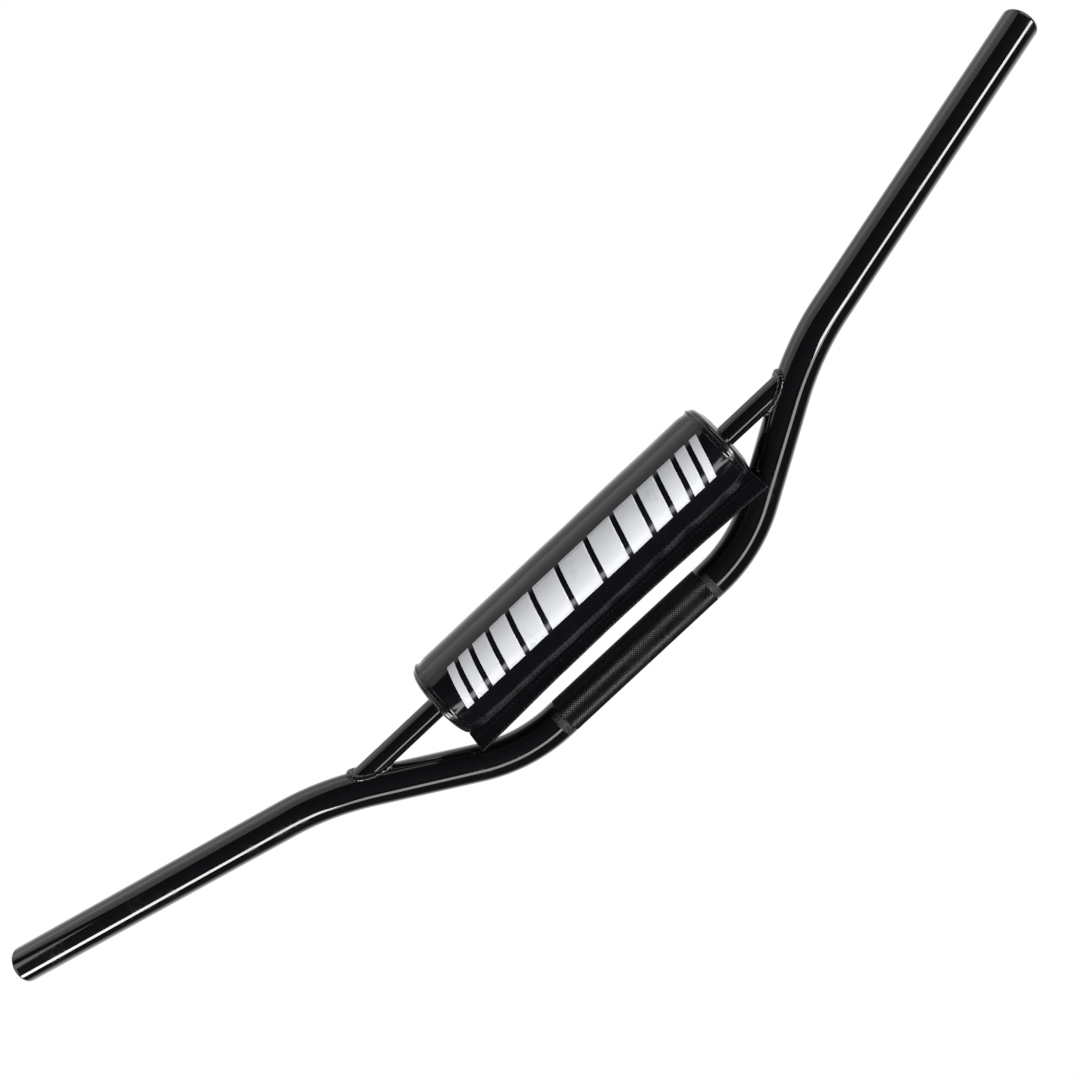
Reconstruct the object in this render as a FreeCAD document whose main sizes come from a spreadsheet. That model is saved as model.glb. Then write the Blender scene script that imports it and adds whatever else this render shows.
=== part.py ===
import FreeCAD, Part
import Sketcher
import math
import os

from FreeCAD import Placement, Rotation, Vector

# Braced motorcycle handlebar with a wrapped foam pad on its crossbar.
# Origin: middle of the clamp zone, on the tube's axis. +X to one grip, +Z up along the
# plane of the risers, -Y to the front. Millimetres.

SIZES = [
    ("tube_dia", 22.2, "outside of the main tube, 7/8 in"),
    ("tube_wall", 2.0, "wall of the main tube"),
    ("end_round", 3.0, "rounding of the tube's cut ends"),
    ("clamp_corner", 86.5, "half distance between the lower bends' corners"),
    ("rise_corner_x", 184.4, "half distance between the upper bends' corners"),
    ("rise_corner_z", 63.0, "height of the upper bends' corners"),
    ("tip_x", 403.8, "half of the width over the ends, on the axis"),
    ("tip_y", 56.0, "pullback of the ends"),
    ("tip_z", 98.0, "height of the ends"),
    ("lower_bend", 90.0, "centreline radius of the lower bends"),
    ("upper_bend", 110.0, "centreline radius of the upper bends"),
    ("crossbar_dia", 12.7, "outside of the crossbar, 1/2 in"),
    ("crossbar_wall", 1.6, "wall of the crossbar"),
    ("crossbar_rise", 57.0, "height of the crossbar's axis"),
    ("bead", 2.6, "reach of a weld bead on both tubes"),
    ("pad_dia", 49.2, "outside of the pad's cover"),
    ("pad_len", 217.0, "length of the pad over its end panels"),
    ("pad_shift", 9.5, "how far the pad sits off the middle"),
    ("pad_round", 3.5, "rounding between the cover and its end panels"),
    ("skin", 1.2, "thickness of the coated fabric"),
    ("fit_gap", 0.1, "running gap at the crossbar and in the cover"),
    ("foam_end_gap", 0.3, "gap between the foam's ends and the end panels"),
    ("mouth_dia", 13.8, "hole in an end panel for the crossbar"),
    ("slit", 2.2, "gap between the cover's two edges"),
    ("foam_slit", 1.0, "cut in the foam for fitting it over the crossbar"),
    ("closure_tilt", 30.0, "angle of the closure forward of straight down"),
    ("closure_tip", 36.8, "reach of the closure from the crossbar's axis"),
    ("closure_len", 215.0, "length of the closure's two plies"),
    ("tape_margin", 1.0, "fabric left around a fastener tape"),
    ("tape_gap", 0.3, "gap between the two fastener tapes"),
    ("hinge_drop", 2.4, "distance of the flap's fold line below the cover"),
    ("hem_width", 3.0, "width of a hem tape"),
    ("hem_thick", 0.5, "thickness of a hem tape"),
    ("hem_inset", 1.0, "how far a hem tape sits inward of the seam it covers"),
    ("hem_slot", 8.0, "gap in a hem tape at the closure"),
    ("thread_dia", 0.6, "sewing thread"),
    ("row_inset", 1.0, "distance of a sewn row from the edge of its tape"),
    ("fold_gap", 0.2, "gap between the flap's ply and its fold line"),
    ("print_len", 195.0, "length of the printed film"),
    ("print_shift", 1.5, "how far the print sits off the pad's middle"),
    ("print_low", -11.3, "lower edge of the print, degrees above level"),
    ("print_high", 47.5, "upper edge of the print, degrees above level"),
    ("film", 0.1, "thickness of the printed film"),
]

doc = FreeCAD.newDocument("Handlebar")
sheet = doc.addObject("Spreadsheet::Sheet", "Sizes")
for row, (alias, value, note) in enumerate(SIZES, start=1):
    sheet.set("A%d" % row, alias)
    sheet.set("B%d" % row, str(value))
    sheet.set("C%d" % row, note)
    sheet.setAlias("B%d" % row, alias)
doc.recompute()


def size(alias):
    return float(sheet.get(alias))


def add(kind, name, place=None, **bound):
    """A document object with its sizes bound to expressions on the sheet."""
    thing = doc.addObject(kind, name)
    for prop, value in bound.items():
        if isinstance(value, str):
            thing.setExpression(prop, value)
        else:
            setattr(thing, prop, value)
    if place is not None:
        thing.Placement = place
    return thing


def cut(name, base, tool):
    return add("Part::Cut", name, Base=base, Tool=tool)


def fuse(name, shapes):
    return add("Part::MultiFuse", name, Shapes=shapes)


# The main tube's line: straight runs joined by tangent bends.

def bend(before, corner, after, radius):
    """Start, end, centre, axis and angle of the arc that rounds a corner."""
    come = (corner - before).normalize()
    leave = (after - corner).normalize()
    turn = come.getAngle(leave)
    reach = radius * math.tan(turn / 2)
    start = corner - come * reach
    end = corner + leave * reach
    axis = come.cross(leave).normalize()
    centre = start + axis.cross(come) * radius
    return start, end, centre, axis, math.degrees(turn)


def side_points(side):
    """Middle, lower corner, upper corner and tip of one half of the bar."""
    return [
        Vector(0, 0, 0),
        Vector(side * size("clamp_corner"), 0, 0),
        Vector(side * size("rise_corner_x"), 0, size("rise_corner_z")),
        Vector(side * size("tip_x"), size("tip_y"), size("tip_z")),
    ]


def run(name, start, end, radius):
    """A straight length of round bar from start to end."""
    place = Placement(start, Rotation(Vector(0, 0, 1), end - start))
    return add("Part::Cylinder", name, place, Radius=radius, Height=(end - start).Length)


def elbow(name, arc, line_radius, radius):
    """A bent length of round bar along an arc."""
    start, end, centre, axis, angle = arc
    out = (start - centre).normalize()
    place = Placement(centre, Rotation(out, axis.cross(out), axis, "ZXY"))
    return add("Part::Torus", name, place, Radius1=line_radius, Radius2=radius, Angle3=angle)


def bar_pieces(name, side, radius):
    """The runs and elbows of one half of the bar at a given radius."""
    middle, low, high, tip = side_points(side)
    lower = bend(middle, low, high, size("lower_bend"))
    upper = bend(low, high, tip, size("upper_bend"))
    return [
        run(name + "_clamp", middle, lower[0], radius),
        elbow(name + "_low", lower, "Sizes.lower_bend", radius),
        run(name + "_riser", lower[1], upper[0], radius),
        elbow(name + "_high", upper, "Sizes.upper_bend", radius),
        run(name + "_grip", upper[1], tip, radius),
    ]


def round_bar(name, radius):
    return fuse(name, bar_pieces(name + "_R", 1, radius) + bar_pieces(name + "_L", -1, radius))


SAME_PLACE = 0.01
OUTSIDE = "Sizes.tube_dia / 2"
BORE = "Sizes.tube_dia / 2 - Sizes.tube_wall"
CROSS_OUTSIDE = "Sizes.crossbar_dia / 2"
CROSS_BORE = "Sizes.crossbar_dia / 2 - Sizes.crossbar_wall"

tube_solid = round_bar("TubeSolid", OUTSIDE)
tube_core = round_bar("TubeCore", BORE)
doc.recompute()


def tip_edges(shape):
    """Numbers of the circular edges at the tube's two cut ends."""
    tips = [side_points(side)[3] for side in (1, -1)]
    found = []
    for number, edge in enumerate(shape.Edges, start=1):
        centre = edge.CenterOfMass
        if any((centre - tip).Length < SAME_PLACE for tip in tips):
            found.append(number)
    return found


tube_rounded = add("Part::Fillet", "TubeRounded", Base=tube_solid)
tube_rounded.Edges = [(number, size("end_round"), size("end_round"))
                      for number in tip_edges(tube_solid.Shape)]
main_tube = cut("main_tube", tube_rounded, tube_core)

# Crossbar, coped to the risers, and its two weld beads.

rise = size("crossbar_rise")
riser_slope = (size("rise_corner_x") - size("clamp_corner")) / size("rise_corner_z")
cross_half = size("clamp_corner") + rise * riser_slope


def along_crossbar(name, radius, start, end):
    """A round solid about the crossbar's axis between two places on X."""
    place = Placement(Vector(start, 0, rise), Rotation(Vector(0, 1, 0), 90))
    return add("Part::Cylinder", name, place, Radius=radius, Height=end - start)


cross_solid = along_crossbar("CrossSolid", CROSS_OUTSIDE, -cross_half, cross_half)
cross_core = along_crossbar("CrossCore", CROSS_BORE, -cross_half, cross_half)
cross_pipe = cut("CrossPipe", cross_solid, cross_core)
crossbar = cut("crossbar", cross_pipe, tube_solid)


def weld(name, side):
    """A collar round the joint that lies on both tubes."""
    fat = bar_pieces(name + "_fat", side, OUTSIDE + " + Sizes.bead")[2:4]
    around_riser = fuse(name + "_riser", fat)
    ends = sorted([side * size("clamp_corner"), side * cross_half])
    around_cross = along_crossbar(name + "_ring", CROSS_OUTSIDE + " + Sizes.bead", *ends)
    common = add("Part::MultiCommon", name + "_both", Shapes=[around_riser, around_cross])
    off_cross = cut(name + "_off", common, cross_solid)
    return cut(name, off_cross, tube_solid)


weld_left = weld("weld_left", -1)
weld_right = weld("weld_right", 1)

# The pad: everything is drawn about its own X axis with the closure at -Z.

pad_place = Placement(Vector(size("pad_shift"), 0, rise),
                      Rotation(Vector(1, 0, 0), -size("closure_tilt")))
half_len = size("pad_len") / 2
COVER = "Sizes.pad_dia / 2"
LINING = "Sizes.pad_dia / 2 - Sizes.skin"


def plane_of(body, role):
    return next(item for item in body.Origin.OriginFeatures if item.Role == role)


def new_body(name):
    body = doc.addObject("PartDesign::Body", name)
    body.Placement = pad_place
    return body


def new_sketch(body, name, role):
    sketch = body.newObject("Sketcher::SketchObject", name)
    sketch.AttachmentSupport = [(plane_of(body, role), "")]
    sketch.MapMode = "FlatFace"
    return sketch


def ring_sketch(body, name, outer, inner):
    """Two circles about the origin, bound to the sheet."""
    sketch = new_sketch(body, name, "YZ_Plane")
    for radius in (outer, inner):
        circle = sketch.addGeometry(Part.Circle(Vector(), Vector(0, 0, 1), half_len))
        sketch.addConstraint(Sketcher.Constraint("Coincident", circle, 3, -1, 1))
        bound = sketch.addConstraint(Sketcher.Constraint("Radius", circle, half_len))
        sketch.setExpression("Constraints[%d]" % bound, radius)
    return sketch


def slot(body, name, width, reach):
    """Cut the closure's gap from the axis out through the -Z side."""
    sketch = new_sketch(body, name + "_sketch", "YZ_Plane")
    half = size(width) / 2
    corners = [Vector(-half, 0), Vector(half, 0), Vector(half, -reach), Vector(-half, -reach)]
    for start, end in zip(corners, corners[1:] + corners[:1]):
        sketch.addGeometry(Part.LineSegment(start, end))
    pocket = body.newObject("PartDesign::Pocket", name)
    pocket.Profile = sketch
    pocket.Midplane = True
    pocket.setExpression("Length", "Sizes.pad_len * 2")
    return pocket


def shell(name, outer, inner, length, width):
    """A slit tube about the pad's axis, centred on its middle."""
    body = new_body(name)
    pad = body.newObject("PartDesign::Pad", name + "_ring")
    pad.Profile = ring_sketch(body, name + "_section", outer, inner)
    pad.Midplane = True
    pad.setExpression("Length", length)
    doc.recompute()
    slot(body, name + "_slit", width, size("closure_tip"))
    return body


def turned(name, outline, width):
    """A profile of X and radius turned about the pad's axis, then slit."""
    body = new_body(name)
    sketch = new_sketch(body, name + "_profile", "XZ_Plane")
    for edge in outline:
        sketch.addGeometry(edge)
    ring = body.newObject("PartDesign::Revolution", name + "_turn")
    ring.Profile = sketch
    ring.ReferenceAxis = (sketch, ["H_Axis"])
    ring.Angle = 360
    doc.recompute()
    slot(body, name + "_slit", width, size("closure_tip"))
    return body


def polyline(points):
    return [Part.LineSegment(Vector(*start), Vector(*end))
            for start, end in zip(points, points[1:])]


def arc_between(centre, radius, first, last):
    circle = Part.Circle(Vector(centre[0], centre[1], 0), Vector(0, 0, 1), radius)
    return Part.ArcOfCircle(circle, math.radians(first), math.radians(last))


wrap_len = "Sizes.pad_len - 2 * Sizes.pad_round"
cover_wrap = shell("cover_wrap", COVER, LINING, wrap_len, "slit")


def foam_outline():
    """Half section of the foam: bore, two ends and rounded shoulders."""
    bore = size("crossbar_dia") / 2 + size("fit_gap")
    outer = size("pad_dia") / 2 - size("skin") - size("fit_gap")
    end = half_len - size("skin") - size("foam_end_gap")
    shoulder = size("pad_round") - size("skin")
    low = outer - shoulder
    return polyline([(-end, low), (-end, bore), (end, bore), (end, low)]) + [
        arc_between((end - shoulder, low), shoulder, 0, 90),
        *polyline([(end - shoulder, outer), (-end + shoulder, outer)]),
        arc_between((-end + shoulder, low), shoulder, 90, 180),
    ]


foam_core = turned("foam_core", foam_outline(), "foam_slit")


def panel_outline(side):
    """Half section of an end panel: a disc whose rim turns onto the cover."""
    mouth = size("mouth_dia") / 2
    round_out = size("pad_round")
    round_in = round_out - size("skin")
    low = size("pad_dia") / 2 - round_out
    out, inn = side * half_len, side * (half_len - size("skin"))
    rim = side * (half_len - round_out)
    first, last = (0, 90) if side > 0 else (90, 180)
    return [
        *polyline([(inn, low), (inn, mouth), (out, mouth), (out, low)]),
        arc_between((rim, low), round_out, first, last),
        *polyline([(rim, low + round_out), (rim, low + round_in)]),
        arc_between((rim, low), round_in, first, last),
    ]


end_panels = [turned("end_panel_" + label, panel_outline(side), "slit")
              for label, side in (("left", -1), ("right", 1))]


def hem(name, side):
    """A tape laid over the seam between the cover and an end panel."""
    inner = size("pad_dia") / 2
    outer = inner + size("hem_thick")
    middle = side * (half_len - size("pad_round") - size("hem_inset"))
    near, far = middle - size("hem_width") / 2, middle + size("hem_width") / 2
    outline = polyline([(near, inner), (far, inner), (far, outer), (near, outer), (near, inner)])
    return turned(name, outline, "hem_slot")


hems = [hem("hem_left", -1), hem("hem_right", 1)]


def hem_thread(name, side):
    """One row of sewing round a hem tape."""
    radius = size("pad_dia") / 2 + size("hem_thick") + size("thread_dia") / 2
    middle = side * (half_len - size("pad_round") - size("hem_inset"))
    thread = Part.Circle(Vector(middle, radius, 0), Vector(0, 0, 1), size("thread_dia") / 2)
    return turned(name, [thread], "hem_slot")


threads = [hem_thread("thread_left", -1), hem_thread("thread_right", 1)]

# Closure: a fixed rear ply and a front flap, held by hook and loop tape.


def plate(name, corner, length, thick, height):
    """A flat plate along the closure, from its lowest corner in the pad's own frame."""
    return add("Part::Box", name, pad_place * Placement(Vector(*corner), Rotation()),
               Length=length, Width=thick, Height=height)


ply_in = size("slit") / 2
ply_out = ply_in + size("skin")
tip = -size("closure_tip")
cover_low = -size("pad_dia") / 2
fold = cover_low - size("hinge_drop")
ply_end = -size("closure_len") / 2
tape_end = ply_end + size("tape_margin")
tape_low, tape_high = tip + size("tape_margin"), fold - size("tape_margin")
tape_face = size("tape_gap") / 2

PLY_LEN = "Sizes.closure_len"
PLY_THICK = "Sizes.skin"
PLY_DROP = "Sizes.closure_tip - Sizes.pad_dia / 2"
TAPE_LEN = "Sizes.closure_len - 2 * Sizes.tape_margin"
TAPE_THICK = "(Sizes.slit - Sizes.tape_gap) / 2"
TAPE_HIGH = PLY_DROP + " - Sizes.hinge_drop - 2 * Sizes.tape_margin"

pad_solid = add("Part::Cylinder", "PadSolid",
                pad_place * Placement(Vector(-half_len, 0, 0), Rotation(Vector(0, 1, 0), 90)),
                Radius=COVER, Height="Sizes.pad_len")
rear_stock = plate("RearStock", (ply_end, ply_in, tip), PLY_LEN, PLY_THICK,
                   PLY_DROP + " + Sizes.skin")
closure_rear = cut("closure_rear", rear_stock, pad_solid)
loop_tape = plate("loop_tape", (tape_end, tape_face, tape_low), TAPE_LEN, TAPE_THICK, TAPE_HIGH)
closure_flap = plate("closure_flap", (ply_end, -ply_out, tip), PLY_LEN, PLY_THICK,
                     PLY_DROP + " - Sizes.hinge_drop - Sizes.fold_gap")
hook_tape = plate("hook_tape", (tape_end, -ply_in, tape_low), TAPE_LEN, TAPE_THICK, TAPE_HIGH)


def tape_thread(name, face):
    """Two rows of sewing that hold a tape, on the outside of its ply."""
    rows = []
    inset = size("row_inset")
    for number, level in enumerate((tape_low + inset, tape_high - inset)):
        start = Vector(tape_end, face, level)
        place = pad_place * Placement(start, Rotation(Vector(0, 1, 0), 90))
        rows.append(add("Part::Cylinder", "%s_row%d" % (name, number), place,
                        Radius="Sizes.thread_dia / 2", Height=TAPE_LEN))
    return add("Part::Compound", name, Links=rows)


thread_edge = ply_out + size("thread_dia") / 2
loop_thread = tape_thread("loop_thread", thread_edge)
hook_thread = tape_thread("hook_thread", -thread_edge)

# Printed film on the front of the cover.


def film_sector(name, radius):
    """A wedge of a cylinder about the pad's axis over the printed area."""
    start = Vector(size("pad_shift") + size("print_shift") - size("print_len") / 2, 0, rise)
    # local X of the wedge is -Y turned up by print_low; it opens upwards about X
    low = math.radians(size("print_low"))
    first = Vector(0, -math.cos(low), math.sin(low))
    about = Vector(-1, 0, 0)
    place = Placement(start + Vector(size("print_len"), 0, 0),
                      Rotation(first, about.cross(first), about, "ZXY"))
    return add("Part::Cylinder", name, place, Radius=radius, Height="Sizes.print_len",
               Angle="Sizes.print_high - Sizes.print_low")


print_film = cut("print_film", film_sector("FilmOut", COVER + " + Sizes.film"),
                 film_sector("FilmIn", COVER))

PARTS = [main_tube, crossbar, weld_left, weld_right, foam_core, cover_wrap, *end_panels,
         *hems, *threads, closure_rear, loop_tape, loop_thread, closure_flap, hook_tape,
         hook_thread, print_film]

# Check and write.

doc.recompute()
for thing in doc.Objects:
    if "Invalid" in thing.State or "Error" in thing.State:
        raise RuntimeError("%s is %s" % (thing.Name, thing.State))

os.makedirs("parts", exist_ok=True)
for part in PARTS:
    part.Label = part.Name
    shape = part.Shape
    if shape.isNull() or not shape.isValid() or not shape.Solids:
        raise RuntimeError("%s has no valid solid" % part.Label)
    shape.exportStep("parts/%s.step" % part.Label)
    box = shape.BoundBox
    print("%-16s solids %d volume %9.1f  x %7.1f %7.1f  y %6.1f %6.1f  z %6.1f %6.1f" % (
        part.Label, len(shape.Solids), shape.Volume, box.XMin, box.XMax,
        box.YMin, box.YMax, box.ZMin, box.ZMax))
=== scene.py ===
import math
import bmesh
import bpy
from mathutils import Matrix, Vector, noise
from mathutils.bvhtree import BVHTree


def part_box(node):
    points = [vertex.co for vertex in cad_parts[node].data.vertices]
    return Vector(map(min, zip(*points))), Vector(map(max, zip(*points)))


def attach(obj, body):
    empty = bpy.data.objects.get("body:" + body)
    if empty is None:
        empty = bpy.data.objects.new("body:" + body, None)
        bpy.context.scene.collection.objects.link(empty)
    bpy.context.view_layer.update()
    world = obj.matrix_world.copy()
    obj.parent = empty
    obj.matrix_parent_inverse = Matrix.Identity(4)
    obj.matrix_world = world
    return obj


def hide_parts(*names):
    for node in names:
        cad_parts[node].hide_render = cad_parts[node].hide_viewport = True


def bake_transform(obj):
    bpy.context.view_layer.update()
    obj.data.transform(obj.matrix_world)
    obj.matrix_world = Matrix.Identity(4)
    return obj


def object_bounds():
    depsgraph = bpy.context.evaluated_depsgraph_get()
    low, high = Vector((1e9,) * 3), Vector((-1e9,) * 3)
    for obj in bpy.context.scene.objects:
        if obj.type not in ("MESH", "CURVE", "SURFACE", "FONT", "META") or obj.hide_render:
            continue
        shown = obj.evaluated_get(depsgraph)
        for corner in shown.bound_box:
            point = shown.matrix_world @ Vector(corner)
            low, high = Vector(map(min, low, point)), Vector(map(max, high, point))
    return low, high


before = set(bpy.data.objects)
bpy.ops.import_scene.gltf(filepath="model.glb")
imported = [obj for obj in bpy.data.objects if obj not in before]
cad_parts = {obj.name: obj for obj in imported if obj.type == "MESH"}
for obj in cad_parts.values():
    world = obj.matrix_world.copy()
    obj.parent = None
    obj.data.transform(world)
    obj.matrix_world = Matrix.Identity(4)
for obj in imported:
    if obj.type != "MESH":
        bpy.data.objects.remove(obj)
cadLow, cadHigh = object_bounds()
print("frame loaded")

mm = 0.001
merged = 0.002 * mm  # vertices nearer than this are one


def newPiece(name, bm, material, body, replaced=(), smooth=True):
    mesh = bpy.data.meshes.new(name)
    bm.to_mesh(mesh)
    bm.free()
    mesh.materials.append(material)
    if smooth:
        mesh.shade_smooth()
    piece = bpy.data.objects.new(name, mesh)
    bpy.context.scene.collection.objects.link(piece)
    if body:
        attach(piece, body)
    if replaced:
        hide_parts(*replaced)
    return piece


def closeShell(bm):
    bmesh.ops.remove_doubles(bm, verts=bm.verts, dist=merged)
    bmesh.ops.recalc_face_normals(bm, faces=bm.faces)


def pickEdges(verts):
    chosen = set(verts)
    return list({e for v in verts for e in v.link_edges if e.other_vert(v) in chosen})


def thicken(piece, thick, offset=-1.0):
    wall = piece.modifiers.new("wall", "SOLIDIFY")
    wall.thickness = thick
    wall.offset = offset


def finalMesh(piece):
    graph = bpy.context.evaluated_depsgraph_get()
    return bpy.data.meshes.new_from_object(piece.evaluated_get(graph))


def settle(piece):  # the modifiers become part of the mesh
    old, piece.data = piece.data, finalMesh(piece)
    piece.modifiers.clear()
    piece.data.name = piece.name
    bpy.data.meshes.remove(old)


# Shared effects: node groups on object coordinates that put out masks and heights.

def newGroup(name, inputs, outputs):
    group = bpy.data.node_groups.new(name, "ShaderNodeTree")
    for label, value in inputs.items():
        socket = group.interface.new_socket(label, in_out="INPUT", socket_type="NodeSocketFloat")
        socket.default_value = value
    for label in outputs:
        group.interface.new_socket(label, in_out="OUTPUT", socket_type="NodeSocketFloat")
    return group, group.nodes.new("NodeGroupInput"), group.nodes.new("NodeGroupOutput")


def addNode(tree, kind, settings=None, **values):
    node = tree.nodes.new(kind)
    for key, value in (settings or {}).items():
        setattr(node, key, value)
    for label, value in values.items():
        fill(tree, node.inputs[label.replace("_", " ")], value)
    return node


def fill(tree, socket, value):
    if isinstance(value, bpy.types.NodeSocket):
        tree.links.new(value, socket)
    else:
        socket.default_value = value


def calc(tree, operation, *values):
    node = tree.nodes.new("ShaderNodeMath")
    node.operation = operation
    for socket, value in zip(node.inputs, values):
        fill(tree, socket, value)
    return node.outputs[0]


def ramp(tree, value, low, high, toLow=0.0, toHigh=1.0):
    node = addNode(tree, "ShaderNodeMapRange", {"interpolation_type": "SMOOTHSTEP"},
                   Value=value, From_Min=low, From_Max=high, To_Min=toLow, To_Max=toHigh)
    return node.outputs["Result"]


def objectPlace(tree):
    return tree.nodes.new("ShaderNodeTexCoord").outputs["Object"]


def makeGrain():  # even fine noise: orange peel, vinyl grain, cast skin
    group, given, result = newGroup("fineGrain", {"Scale": 900.0, "Detail": 2.0}, ["Height"])
    cloud = addNode(group, "ShaderNodeTexNoise", Vector=objectPlace(group),
                    Scale=given.outputs["Scale"], Detail=given.outputs["Detail"])
    group.links.new(cloud.outputs["Fac"], result.inputs["Height"])
    return group


def makeScuff():  # patches broken up by a finer noise
    finer, finerShare, amountShare, softness = 14.0, 0.35, 0.5, 0.16
    group, given, result = newGroup("handlingScuff", {"Scale": 40.0, "Amount": 0.5}, ["Mask"])
    wide = addNode(group, "ShaderNodeTexNoise", Vector=objectPlace(group),
                   Scale=given.outputs["Scale"], Detail=6.0, Roughness=0.65)
    fine = addNode(group, "ShaderNodeTexNoise", Vector=objectPlace(group),
                   Scale=calc(group, "MULTIPLY", given.outputs["Scale"], finer), Detail=3.0)
    share = calc(group, "MULTIPLY", fine.outputs["Fac"], finerShare)
    both = calc(group, "ADD", wide.outputs["Fac"], share)
    level = calc(group, "SUBTRACT", 1.0, calc(group, "MULTIPLY", given.outputs["Amount"], amountShare))
    mask = ramp(group, both, level, calc(group, "ADD", level, softness))
    group.links.new(mask, result.inputs["Mask"])
    return group


def makeDust():  # sparse specks that gather in patches
    patchScale, patchLow, patchHigh = 55.0, 0.52, 0.7
    group, given, result = newGroup("dustSpecks", {"Scale": 420.0, "Size": 0.1}, ["Mask"])
    cells = addNode(group, "ShaderNodeTexVoronoi", Vector=objectPlace(group),
                    Scale=given.outputs["Scale"])
    speck = ramp(group, cells.outputs["Distance"], given.outputs["Size"], 0.0)
    where = addNode(group, "ShaderNodeTexNoise", Vector=objectPlace(group), Scale=patchScale)
    patches = ramp(group, where.outputs["Fac"], patchLow, patchHigh)
    mask = calc(group, "MULTIPLY", speck, patches)
    group.links.new(mask, result.inputs["Mask"])
    return group


def makeWeave():  # two crossing sets of ribs
    group, given, result = newGroup("tapeWeave", {"Pitch": 1600.0}, ["Height"])
    axes = addNode(group, "ShaderNodeSeparateXYZ", Vector=objectPlace(group))
    along = calc(group, "SINE", calc(group, "MULTIPLY", axes.outputs["X"], given.outputs["Pitch"]))
    down = calc(group, "SINE", calc(group, "MULTIPLY", axes.outputs["Z"], given.outputs["Pitch"]))
    height = calc(group, "MULTIPLY_ADD", calc(group, "MULTIPLY", along, down), 0.5, 0.5)
    group.links.new(height, result.inputs["Height"])
    return group


fineGrain, handlingScuff = makeGrain(), makeScuff()
dustSpecks, tapeWeave = makeDust(), makeWeave()


def use(tree, group, output, **values):
    node = tree.nodes.new("ShaderNodeGroup")
    node.node_tree = group
    for label, value in values.items():
        fill(tree, node.inputs[label], value)
    return node.outputs[output]


def bump(tree, height, strength, distance, below=None):
    node = addNode(tree, "ShaderNodeBump", Height=height, Strength=strength, Distance=distance)
    if below is not None:
        tree.links.new(below, node.inputs["Normal"])
    return node.outputs["Normal"]


def tint(tree, mask, first, second):
    node = addNode(tree, "ShaderNodeMix", {"data_type": "RGBA"})
    fill(tree, node.inputs["Factor"], mask)
    fill(tree, node.inputs[6], first)
    fill(tree, node.inputs[7], second)
    return node.outputs[2]


def newMaterial(name, **fixed):
    material = bpy.data.materials.new(name)
    material.use_nodes = True
    tree = material.node_tree
    shader = tree.nodes["Principled BSDF"]
    for label, value in fixed.items():
        shader.inputs[label.replace("_", " ")].default_value = value
    return material, tree, shader


def wire(tree, shader, **links):
    for label, value in links.items():
        tree.links.new(value, shader.inputs[label.replace("_", " ")])


paintLook = {
    "black": (0.0045, 0.0048, 0.006, 1), "dusty": (0.03, 0.031, 0.035, 1),
    # collar: a real matt band; its lighter colour, only on the front, is painted light
    "collar": (0.045, 0.045, 0.048, 1), "collarIn": 55.3 * mm, "collarOut": 59.8 * mm,
    "collarInFade": 0.3 * mm, "collarOutFade": 0.5 * mm,
    "collarTop": 14 * mm, "litFrontStarts": -5 * mm, "litFrontFull": -10 * mm,
    "gloss": 0.07, "worn": 0.2, "matt": 0.5, "coat": 0.6, "dust": 0.5,
    "speckLow": 0.42, "speckHigh": 0.62,
}


def barPaint():  # black gloss, with a narrow matt collar beside the knurling, painted lighter on its front side only as painted light
    look = paintLook
    material, tree, shader = newMaterial("barPaint", Coat_Roughness=0.04)
    scuff = use(tree, handlingScuff, "Mask", Scale=26.0, Amount=0.62)
    dust = use(tree, dustSpecks, "Mask", Scale=520.0, Size=0.12)
    axes = addNode(tree, "ShaderNodeSeparateXYZ", Vector=objectPlace(tree))
    away = calc(tree, "ABSOLUTE", axes.outputs["X"])
    low = calc(tree, "LESS_THAN", axes.outputs["Z"], look["collarTop"])
    # front side only: the collar's lighter colour here is painted light
    rubbedAndLitFront = ramp(tree, axes.outputs["Y"], look["litFrontStarts"], look["litFrontFull"])
    inner = ramp(tree, away, look["collarIn"] - look["collarInFade"], look["collarIn"])
    outer = ramp(tree, away, look["collarOut"], look["collarOut"] + look["collarOutFade"],
                 toLow=1.0, toHigh=0.0)
    collar = calc(tree, "MULTIPLY", low, calc(tree, "MULTIPLY", inner, outer))
    collar = calc(tree, "MULTIPLY", collar, rubbedAndLitFront)
    grain = use(tree, fineGrain, "Height", Scale=1500.0, Detail=3.0)
    speckled = ramp(tree, grain, look["speckLow"], look["speckHigh"])
    colour = tint(tree, calc(tree, "MULTIPLY", dust, look["dust"]), look["black"], look["dusty"])
    # the collar's matt finish is real; its lighter colour, only on the front, is painted light
    colour = tint(tree, calc(tree, "MULTIPLY", collar, speckled), colour, look["collar"])
    rough = calc(tree, "MULTIPLY_ADD", scuff, look["worn"] - look["gloss"], look["gloss"])
    rough = calc(tree, "MAXIMUM", rough, calc(tree, "MULTIPLY", collar, look["matt"]))
    peel = use(tree, fineGrain, "Height", Scale=420.0, Detail=1.0)
    normal = bump(tree, peel, strength=0.05, distance=0.1 * mm)
    normal = bump(tree, calc(tree, "MULTIPLY", collar, speckled), strength=0.6, distance=0.15 * mm,
                  below=normal)
    wire(tree, shader, Base_Color=colour, Roughness=rough, Normal=normal)
    wire(tree, shader, Coat_Weight=calc(tree, "MULTIPLY_ADD", collar, -look["coat"], look["coat"]))
    return material


knurlLook = {
    "dark": (0.005, 0.005, 0.0052, 1), "worn": (0.009, 0.0088, 0.0088, 1),
    "rough": (0.3, 0.38),  # where the paint is whole, and where it is rubbed
}


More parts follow.
